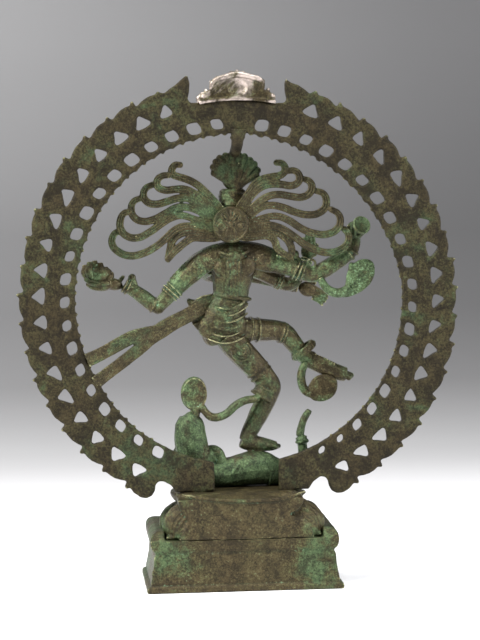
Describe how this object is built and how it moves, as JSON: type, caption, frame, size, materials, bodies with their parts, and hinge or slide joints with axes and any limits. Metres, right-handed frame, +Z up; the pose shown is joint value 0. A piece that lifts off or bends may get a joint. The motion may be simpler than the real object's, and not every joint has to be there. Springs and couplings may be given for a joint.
{
  "type": "nataraja statue",
  "caption": "Standing dancer figure with four arms inside an openwork ring of flames, on a prone dwarf, a lotus pedestal and a stepped plinth, in cast and patinated metal.",
  "frame": {"origin": "centre of the plinth's foot, on the surface the statue stands on", "axes": "+Z up, +Y the way the dancer faces, -Y the flat back of the pedestal, +X along the ring's width"},
  "size_m": [0.4408, 0.12, 0.518],
  "materials": {
    "patina_dark": "dark brown patina with green patches",
    "patina_green": "green patina with paler green in the recesses and worn olive highlights",
    "worn_bright": "patina worn back to pale metal on the raised parts"
  },
  "bodies": {
    "root": {"plinth_shell": "patina_dark", "lotus_pedestal": "patina_green", "flame_ring": "patina_dark", "ring_finial": "worn_bright", "crest_link": "patina_dark", "dwarf_body": "patina_green", "dwarf_serpent": "patina_green", "dwarf_tang_pin": "patina_dark", "dancer_torso": "patina_green", "standing_leg": "patina_green", "raised_leg": "patina_green", "ankle_serpent": "patina_green", "fire_arm": "patina_green", "flame_bowl": "patina_green", "drum_arm": "patina_green", "hand_drum": "patina_green", "blessing_arm": "patina_green", "pointing_arm": "patina_green", "forearm_serpent": "patina_green", "head": "patina_green", "feather_crest": "patina_green", "nape_disc": "patina_dark", "hair_fan_left": "patina_dark", "hair_fan_right": "patina_dark", "sash": "patina_dark"}
  },
  "joints": []
}
